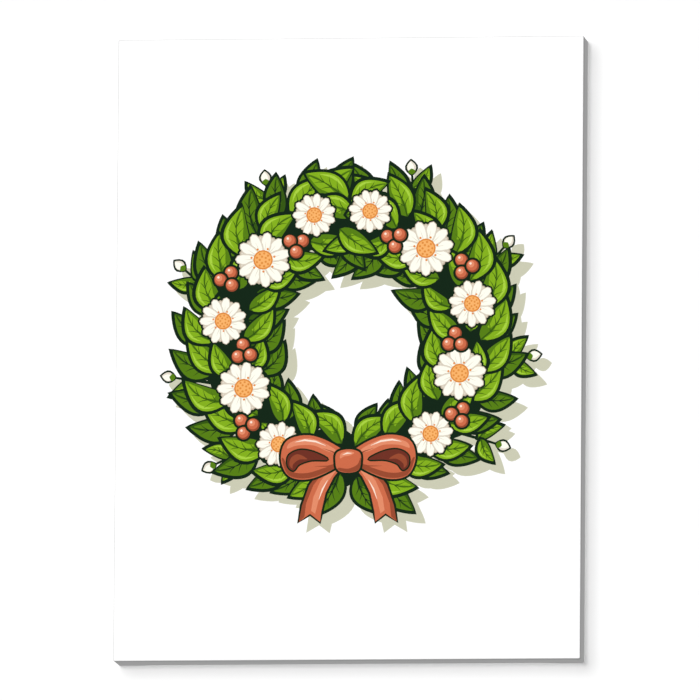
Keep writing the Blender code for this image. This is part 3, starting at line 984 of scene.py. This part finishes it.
def laid(cloth, point, side, inset, y, wander, spots):
    """Where a point of the wrapped cloth lies, with its folds and its slack."""
    x, z = point.real, point.imag
    # The first strip of the flap lies tight, and the next one lets go of the bar, except
    # within reach of what holds it down
    tight, ease, reach = 0.002, 0.010, 0.009
    # Top and bottom: the tucked triangle lifts the cloth beside each corner, steeply
    from_corner = HALF_X - abs(x)
    steepness = 2.5
    if side % 2 and from_corner > cloth.corner_radius + 0.0001 and inset < tight:
        depth = max(y - FRONT, 1e-6)
        share = min(1.0, steepness * max(0.0, 1 - from_corner / depth))
        share *= 1 - min(1.0, inset / cloth.back_radius)
        z += math.copysign(cloth.fold_rise * share, z)
    loose = min(1.0, max(0.0, (inset - tight) / ease))
    if loose:
        held = max(math.exp(-(abs(point - at) / reach) ** 2) for at in spots)
        y += cloth.slack * loose * (1 - held)
    if inset > cloth.flap - 1e-6:
        if side % 2:
            z -= math.copysign(wander, z)
        else:
            x -= math.copysign(wander, x)
    return Vector((x, y, CENTRE_Z + z))


def flat_place(cloth, point, side, distance):
    """Where a point of the wrap lies on the cloth laid out flat, in metres."""
    along = point * (-1j) ** side
    out = (HALF_X, HALF_Z)[side % 2] - cloth.front_radius + distance
    flat = complex(out, along.imag) * 1j ** side
    return (flat.real, flat.imag)


def add_face(shape, corners, finish, smoothed=False):
    """One face of the cloth, from its corners as (vertex, place laid flat, ink)."""
    uv = shape.loops.layers.uv["cloth"]
    inks = shape.loops.layers.float_color["ink"]
    face = shape.faces.new([vert for vert, *_ in corners])
    face.material_index = finish
    face.smooth = smoothed
    for loop, (_, place, ink) in zip(face.loops, corners):
        loop[uv].uv = place
        loop[inks] = ink


def squares(rows):
    """Each square between two closed rows, with the number of the first row."""
    for r, (row, following) in enumerate(zip(rows, rows[1:])):
        for i in range(len(row)):
            j = (i + 1) % len(row)
            yield r, (row[i], row[j], following[j], following[i])


def add_wrap(shape, cloth, back, spots):
    """The closed skin from the front's rim round to the flaps and back inside."""
    outer, inner = cloth_profile(cloth, back)
    wander = frayed_edge(cloth, len(cloth_ring(cloth, 0.0)))
    rows = []
    # Painted shade: the sides are darkest just behind the front edge, and it is gone not far back
    darkest, reach = 2 * MM, 8 * MM
    for inset, y, distance in outer + inner:
        shade = max(0.0, 1 - abs(distance - darkest) / reach) ** 1.5
        ink = (*(mix(1.0, cloth.edge_shade_tone, shade),) * 3, 1.0)
        ring = cloth_ring(cloth, inset)
        rows.append([(shape.verts.new(laid(cloth, p, side, inset, y, wander[i], spots)),
                      p, side, distance, ink) for i, (p, side) in enumerate(ring)])
    for r, square in squares(rows):
        # All four corners are laid flat on the side that the first one is on
        side = square[0][2]
        corners = [(vert, flat_place(cloth, p, side, distance), ink)
                   for vert, p, _, distance, ink in square]
        add_face(shape, corners, 0 if r < len(outer) - 1 else 1, True)
    return [vert for vert, *_ in rows[0] + rows[-1]]


def add_corner_fold(shape, cloth, end_x, end_z, low, high, steps=10):
    """The triangle of cloth folded in over each back corner, as a thin closed pad."""
    middle, thick = (low + high) / 2, (high - low) / 2
    # Shares of the triangle's legs where the pad starts and ends, and its rounded edge
    near, far, edge = 0.05, 1.0, 0.02
    bulge = 0.00008
    section = [(near, low), (near, high)]
    section += [(mix(near, far, k / 6) - edge, high + bulge * math.sin(math.pi * k / 6))
                for k in range(1, 7)]
    section += [(far - edge + edge * math.cos(a), middle + thick * math.sin(a))
                for a in map(math.radians, (60, 20, -20, -60))]
    section += [(mix(near, far, k / 3) - edge, low) for k in (3, 2, 1)]
    rows = []
    for i in range(steps + 1):
        share = i / steps
        row = []
        for reach, y in section:
            leg = reach * cloth.fold_leg
            x = end_x * (HALF_X - MM - leg * (1 - share))
            z = end_z * (HALF_Z - MM - leg * share)
            row.append((shape.verts.new((x, y, CENTRE_Z + z)), (x, z), WHITE))
        rows.append(row)
    for corners in [square for _, square in squares(rows)] + [rows[0], rows[-1]]:
        add_face(shape, corners, 0, True)


def add_flat(shape, places, triangles, inks, y, finish):
    """Flat faces facing along Y, from points as complex metres about the print's middle."""
    verts = [shape.verts.new((p.real, y, CENTRE_Z + p.imag)) for p in places]
    for triangle, ink in zip(triangles, inks):
        corners = [(verts[i], (places[i].real, places[i].imag), ink) for i in triangle]
        add_face(shape, corners, finish)
    return verts


def inner_net(rim, across=24, up=32):
    """Triangles of even size for the inside of the front, within its rim."""
    reach_x, reach_z = max(p.real for p in rim), max(p.imag for p in rim)
    points = rim + [complex(mix(-reach_x, reach_x, i / across), mix(-reach_z, reach_z, k / up))
                    for i in range(1, across) for k in range(1, up)]
    places, _, triangles, *_ = net_of(points, [], [list(range(len(rim)))], 1e-7)
    return places, triangles


def make_canvas(settings):
    """The whole cloth as one closed mesh: wrap, corner folds, printed front and its back."""
    cloth = settings.cloth
    shape = bmesh.new()
    shape.loops.layers.uv.new("cloth")
    shape.loops.layers.float_color.new("ink")
    # The flaps lie just under the crowns of the staples
    back, fold_back = (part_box(name)[1].y - settings.metal.wire_thick
                       for name in ("staple_top_1", "staple_corner_top_left"))
    middles = [middle_of(name) for name in STAPLES + BUMPERS]
    seam = add_wrap(shape, cloth, back, [complex(at.x, at.z - CENTRE_Z) for at in middles])
    # The folds start a little inside the flaps, so that no gap shows
    for end_z in (1, -1):
        for end_x in (-1, 1):
            add_corner_fold(shape, cloth, end_x, end_z, back - 0.0001, fold_back)

    rim = [point for point, _ in cloth_ring(cloth, cloth.front_radius)]
    places, triangles, inks = flat_picture([p / MM for p in rim], draw_wreath(settings.picture))
    values = {ink: (*getattr(settings.inks, ink), 1.0) for ink in InkSettings.__annotations__}
    values[BARE] = WHITE
    front = add_flat(shape, [p * MM for p in places], triangles, [values[ink] for ink in inks],
                     FRONT, 0)
    places, triangles = inner_net(rim)
    inside = add_flat(shape, places, triangles, [WHITE] * len(triangles),
                      FRONT + cloth.thickness, 1)
    seam += [vert for vert in front + inside if vert.is_boundary]
    bmesh.ops.remove_doubles(shape, verts=seam, dist=2e-6)
    bmesh.ops.recalc_face_normals(shape, faces=shape.faces)
    open_edges = sum(len(edge.link_faces) != 2 for edge in shape.edges)
    if open_edges:
        raise RuntimeError(f"the canvas has {open_edges} open edges")

    mesh = bpy.data.meshes.new("stretched_canvas")
    shape.to_mesh(mesh)
    shape.free()
    mesh.set_sharp_from_angle(angle=math.radians(50))
    return linked("stretched_canvas", mesh)


class CANVAS_PRINT_OT_canvas(bpy.types.Operator):
    """Wrap the printed canvas over the bars and fold it at the back"""
    bl_idname = "canvas_print.canvas"
    bl_label = "Canvas and Picture"

    def execute(self, context):
        cloth = context.scene.canvas_print.cloth
        piece = make_canvas(context.scene.canvas_print)
        hand_over(piece, (primed_canvas(cloth), raw_canvas(cloth)), "canvas", "canvas")
        return {"FINISHED"}


class CANVAS_PRINT_OT_wood(bpy.types.Operator):
    """Finish the stretcher bars and soften the edges of the corner keys"""
    bl_idname = "canvas_print.wood"
    bl_label = "Bars and Keys"

    def execute(self, context):
        wood = context.scene.canvas_print.wood
        pine = {along: planed_pine(wood, along) for along in "XZ"}
        beech = {along: sawn_beech(wood, along) for along in "XZ"}
        for side in SIDES:
            # Grain runs along each bar, and along each key, which lies across its bar
            along, across = ("Z", "X") if side in ("left", "right") else ("X", "Z")
            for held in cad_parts[f"stretcher_{side}"].material_slots:
                held.material = pine[along]
            for layer in ("front", "rear"):
                name = f"key_{side}_{layer}"
                key = copied(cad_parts[name], f"corner_{name}", Matrix())
                # The bevel needs the solid's flat faces whole
                select_only(key)
                bpy.ops.object.mode_set(mode="EDIT")
                bpy.ops.mesh.select_all(action="SELECT")
                bpy.ops.mesh.remove_doubles(threshold=1e-6)
                bpy.ops.mesh.dissolve_limited(angle_limit=math.radians(1))
                bpy.ops.object.mode_set(mode="OBJECT")
                soften(key, width=0.0003, degrees=30)
                smooth(key, degrees=25)
                hand_over(key, [beech[across]], "beech", name)
        return {"FINISHED"}


def make_staple(metal):
    """One wire staple, its crown along X with the underside at y 0, legs towards -Y."""
    straight = metal.crown / 2 - metal.wire_thick - metal.bend
    point = 0.0012
    staple = begin("wire_staple", bpy.ops.mesh.primitive_cube_add, size=1.0,
                   location=(0, metal.wire_thick / 2, 0),
                   scale=(2 * straight, metal.wire_thick, metal.wire_wide))
    for end in (1, -1):
        pick(staple, "faces",
             lambda face: abs(face.calc_center_median().x - end * straight) < 1e-6)
        bpy.ops.mesh.spin(steps=4, angle=math.radians(90) * end,
                          center=(end * straight, -metal.bend, 0), axis=(0, 0, 1))
        # The spin leaves the end of the bend selected, from which the leg goes on
        extrude((0, -(metal.leg - metal.bend - point), 0))
        extrude((-end * metal.wire_thick * 0.3, -point, 0))
        bpy.ops.transform.resize(
            value=(0.3, 1, 1),
            center_override=(end * (metal.crown / 2 - 0.8 * metal.wire_thick), -metal.leg, 0))
    turn_outwards()
    soften(staple, width=0.00012, degrees=40)
    smooth(staple)
    return staple


class CANVAS_PRINT_OT_staples(bpy.types.Operator):
    """Bend one wire staple and set a copy at each place"""
    bl_idname = "canvas_print.staples"
    bl_label = "Staples"

    def execute(self, context):
        metal = context.scene.canvas_print.metal
        pattern = make_staple(metal)
        zinc = galvanised_wire(metal)
        for name in STAPLES:
            middle = middle_of(name)
            # The crown runs the way in which the solid's corners lie furthest apart
            spread = [(v.co - middle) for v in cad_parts[name].data.vertices]
            turn = 0.5 * cmath.phase(sum(complex(v.x, v.z) ** 2 for v in spread))
            foot = (middle.x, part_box(name)[1].y - metal.wire_thick, middle.z)
            placing = Matrix.Translation(foot) @ Matrix.Rotation(-turn, 4, "Y")
            hand_over(copied(pattern, f"wire_{name}", placing), [zinc], "staple_wire", name)
        bpy.data.objects.remove(pattern)
        return {"FINISHED"}


def make_hanger_plate(metal):
    """The sawtooth plate: rounded ends, raised middle, teeth along its lower edge."""
    low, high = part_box("hanger_plate")
    middle = (0, low.y, (high.z + low.z) / 2)
    wide, tall = high.x - low.x, high.z - low.z
    # Half of the raised stretch, and of it with the ramps at its ends
    flat, ramp = 0.0125, 0.0150
    corner, teeth = 0.003, 8
    plate = begin("sawtooth_hanger", bpy.ops.mesh.primitive_plane_add, size=wide,
                  location=middle, rotation=TO_FRONT)
    bpy.ops.mesh.select_all(action="SELECT")
    bpy.ops.transform.resize(value=(1, 1, tall / wide), center_override=middle)
    bpy.ops.mesh.bevel(offset=corner, segments=6, affect="VERTICES")
    step = metal.pitch / 2
    cuts = [step * (i - teeth) for i in range(2 * teeth + 1)] + [-ramp, -flat, flat, ramp]
    for x in cuts:
        bpy.ops.mesh.select_all(action="SELECT")
        bpy.ops.mesh.bisect(plane_co=(x, 0, 0), plane_no=(1, 0, 0))

    def lower_edge(x):
        """How far the lower edge stands above the plate's lowest line at x."""
        straight, toothed = wide / 2 - corner, teeth * step
        if abs(x) > toothed + 1e-6:
            return metal.tooth * max(0.0, (straight - abs(x)) / (straight - toothed))
        return metal.tooth * (round(x / step + teeth) % 2 == 0)

    for x in cuts:
        pick(plate, "verts", lambda vert: abs(vert.co.x - x) < 1e-5 and vert.co.z < middle[2])
        bpy.ops.transform.translate(value=(0, 0, lower_edge(x)))
    pick(plate, "verts", lambda vert: abs(vert.co.x) < flat + 1e-5)
    bpy.ops.transform.translate(value=(0, metal.rise, 0))
    # The sheet gets its thickness towards the wall, so it has to face that way
    turn_outwards()
    if sum(face.normal.y for face in bmesh.from_edit_mesh(plate.data).faces) < 0:
        bpy.ops.mesh.flip_normals()
    apply_modifier(plate, "SOLIDIFY", thickness=metal.plate, offset=1.0,
                   use_even_offset=True)
    soften(plate, width=0.00016, degrees=50)
    smooth(plate)
    return plate


def make_nail():
    """One nail with a low domed head, modelled where the left solid is."""
    low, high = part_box(NAILS[0])
    middle = (low + high) / 2
    head, shank, thick, point = 0.0020, 0.0007, 0.0007, 0.002
    nail = begin_disc("plated_nail", (middle.x, high.y - thick / 2, middle.z), head, thick,
                      sides=24, rounding=thick * 0.6, steps=3)
    pick(nail, "faces", lambda face: face.normal.y < -0.9)
    bpy.ops.mesh.inset(thickness=head - shank, use_even_offset=True)
    extrude((0, low.y + point - (high.y - thick), 0))
    extrude((0, -point, 0))
    bpy.ops.transform.resize(value=(0.25, 1, 0.25), center_override=(middle.x, low.y, middle.z))
    turn_outwards()
    smooth(nail)
    return nail


class CANVAS_PRINT_OT_hanger(bpy.types.Operator):
    """Press the sawtooth hanger and drive its two nails"""
    bl_idname = "canvas_print.hanger"
    bl_label = "Hanger"

    def execute(self, context):
        metal = context.scene.canvas_print.metal
        brass = plated_brass(metal)
        hand_over(make_hanger_plate(metal), [brass], "hanger_plate", "hanger_plate")
        nail = make_nail()
        from_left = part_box(NAILS[1])[0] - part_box(NAILS[0])[0]
        other = copied(nail, "plated_nail_right", Matrix.Translation(from_left))
        nail.name = "plated_nail_left"
        for piece, name in ((nail, NAILS[0]), (other, NAILS[1])):
            hand_over(piece, [brass], "nail_steel", name)
        return {"FINISHED"}


class CANVAS_PRINT_OT_bumpers(bpy.types.Operator):
    """Cut one felt bumper and stick a copy at each corner"""
    bl_idname = "canvas_print.bumpers"
    bl_label = "Bumpers"

    def execute(self, context):
        felt = pressed_felt(context.scene.canvas_print.metal)
        low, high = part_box(BUMPERS[0])
        pattern = begin_disc("felt_bumper", middle_of(BUMPERS[0]), (high.x - low.x) / 2,
                             high.y - low.y, sides=40, rounding=0.0009, steps=4)
        # Two rings near the rim keep the flat back's shading flat
        pick(pattern, "faces", lambda face: face.normal.y > 0.99)
        bpy.ops.mesh.inset(thickness=0.0010)
        bpy.ops.mesh.inset(thickness=0.0014)
        smooth(pattern, degrees=40)
        for name in BUMPERS:
            placing = Matrix.Translation(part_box(name)[0] - low)
            hand_over(copied(pattern, f"felt_{name}", placing), [felt], "felt", name)
        bpy.data.objects.remove(pattern)
        return {"FINISHED"}


# Wall, light and camera
def add_sun(name, aim, strength, spread):
    """A sun whose light travels along aim, spread being its angle across."""
    lamp = bpy.data.lights.new(name, "SUN")
    lamp.energy = strength
    lamp.angle = math.radians(spread)
    made = linked(name, lamp)
    made.rotation_euler = Vector(aim).to_track_quat("-Z", "Y").to_euler()
    made.location = -Vector(aim).normalized() * 3


def add_wall(stage):
    """A plain white wall that shows only from its front, so the back can be seen."""
    wall = begin("wall", bpy.ops.mesh.primitive_plane_add, size=stage.wall_size,
                 location=(0, WALL, CENTRE_Z), rotation=TO_FRONT)
    bpy.ops.object.mode_set(mode="OBJECT")
    paint, tree = new_material("matt_wall_paint")
    tree.nodes.remove(tree.nodes["Principled BSDF"])
    mixed = node(tree, "MixShader", node(tree, "NewGeometry").outputs["Backfacing"],
                 node(tree, "BsdfDiffuse", stage.wall), node(tree, "BsdfTransparent"))
    fill(tree, tree.nodes["Material Output"].inputs["Surface"], mixed)
    wall.data.materials.append(paint)
    wall.visible_diffuse = wall.visible_glossy = wall.visible_transmission = False
    wall.visible_shadow = False


def add_surroundings():
    """A white world behind the view that lights front and back softly by itself."""
    world = bpy.data.worlds.new("studio")
    bpy.context.scene.world = world
    world.use_nodes = True
    tree = world.node_tree
    tree.nodes.clear()
    split = node(tree, "SeparateXYZ", node(tree, "TexCoord").outputs["Generated"])
    rear = node(tree, "MapRange", split.outputs["Y"], -0.35, 0.35, 0.24, 0.47,
                interpolation_type="SMOOTHSTEP")
    soft = node(tree, "Background", WHITE[:3], rear)
    white = node(tree, "Background", WHITE[:3], 1.0)
    mixed = node(tree, "MixShader", node(tree, "LightPath").outputs["Is Camera Ray"], soft, white)
    node(tree, "OutputWorld", mixed)


def add_camera(stage, right, towards):
    """The camera, with its right and the way to it from the print as unit vectors."""
    lens = bpy.data.cameras.new("camera")
    camera = linked("camera", lens)
    bpy.context.scene.camera = camera
    up = towards.cross(right)
    # The front's middle lies 1.5 pixels left of the photo's middle and 1.75 above it
    pixel = stage.view_width / PHOTO_WIDTH
    target = Vector((0, FRONT, CENTRE_Z)) + 1.5 * pixel * right - 1.75 * pixel * up
    aim = Matrix((right, up, towards)).transposed() @ Matrix.Rotation(stage.roll, 3, "Z")
    camera.matrix_world = Matrix.Translation(target + stage.distance * towards) @ aim.to_4x4()
    lens.sensor_width = 36.0
    lens.lens = lens.sensor_width * stage.distance / stage.view_width
    lens.clip_start, lens.clip_end = 1.0, 60.0


class CANVAS_PRINT_OT_stage(bpy.types.Operator):
    """Put up the wall, the light and the camera"""
    bl_idname = "canvas_print.stage"
    bl_label = "Wall, Light and Camera"

    def execute(self, context):
        stage = context.scene.canvas_print.stage
        context.scene.view_settings.view_transform = "Standard"
        add_wall(stage)
        add_surroundings()
        az, el = stage.azimuth, stage.elevation
        right = Vector((math.cos(az), math.sin(az), 0.0))
        towards = Vector((math.sin(az) * math.cos(el), -math.cos(az) * math.cos(el),
                          math.sin(el)))
        # Two key lights from the upper left: a wide one for the soft shadow to the right
        # and below, and a narrow one for the dark line close to the canvas
        add_sun("key", (0.20, 1.0, -0.20), strength=1.37, spread=26)
        add_sun("key_near", (0.052, 1.0, -0.052), strength=1.02, spread=6)
        # The fill stands behind the camera, so its shadow stays out of sight
        add_sun("fill", -towards, strength=0.77, spread=2)
        # This one lights only the back
        add_sun("back", (0.55, -1.0, -0.75), strength=1.9, spread=12)
        add_camera(stage, right, towards)
        return {"FINISHED"}


class CANVAS_PRINT_PT_sidebar(bpy.types.Panel):
    """Sizes and colours of the print, with a button for each part"""
    bl_idname = "CANVAS_PRINT_PT_sidebar"
    bl_label = "Canvas Print"
    bl_space_type = "VIEW_3D"
    bl_region_type = "UI"
    bl_category = "Canvas Print"

    def draw(self, context):
        settings = context.scene.canvas_print
        for title, group, operators in (
                ("Canvas", settings.cloth, [CANVAS_PRINT_OT_canvas]),
                ("Picture", settings.picture, []),
                ("Inks", settings.inks, []),
                ("Wood", settings.wood, [CANVAS_PRINT_OT_wood]),
                ("Metal and felt", settings.metal,
                 [CANVAS_PRINT_OT_staples, CANVAS_PRINT_OT_hanger, CANVAS_PRINT_OT_bumpers]),
                ("Stage", settings.stage, [CANVAS_PRINT_OT_stage])):
            part = self.layout.box()
            part.label(text=title)
            for name in group.__annotations__:
                part.prop(group, name)
            for operator in operators:
                part.operator(operator.bl_idname)


CLASSES = (ClothSettings, PictureSettings, InkSettings, WoodSettings, MetalSettings,
           StageSettings, CanvasPrintSettings, CANVAS_PRINT_OT_canvas, CANVAS_PRINT_OT_wood,
           CANVAS_PRINT_OT_staples, CANVAS_PRINT_OT_hanger, CANVAS_PRINT_OT_bumpers,
           CANVAS_PRINT_OT_stage, CANVAS_PRINT_PT_sidebar)


def register():
    for kind in CLASSES:
        bpy.utils.register_class(kind)
    bpy.types.Scene.canvas_print = PointerProperty(type=CanvasPrintSettings)


def unregister():
    del bpy.types.Scene.canvas_print
    for kind in reversed(CLASSES):
        bpy.utils.unregister_class(kind)


def main():
    register()
    bpy.ops.canvas_print.canvas()
    bpy.ops.canvas_print.wood()
    bpy.ops.canvas_print.staples()
    bpy.ops.canvas_print.hanger()
    bpy.ops.canvas_print.bumpers()
    bpy.ops.canvas_print.stage()
    select_only()


if __name__ == "__main__":
    main()
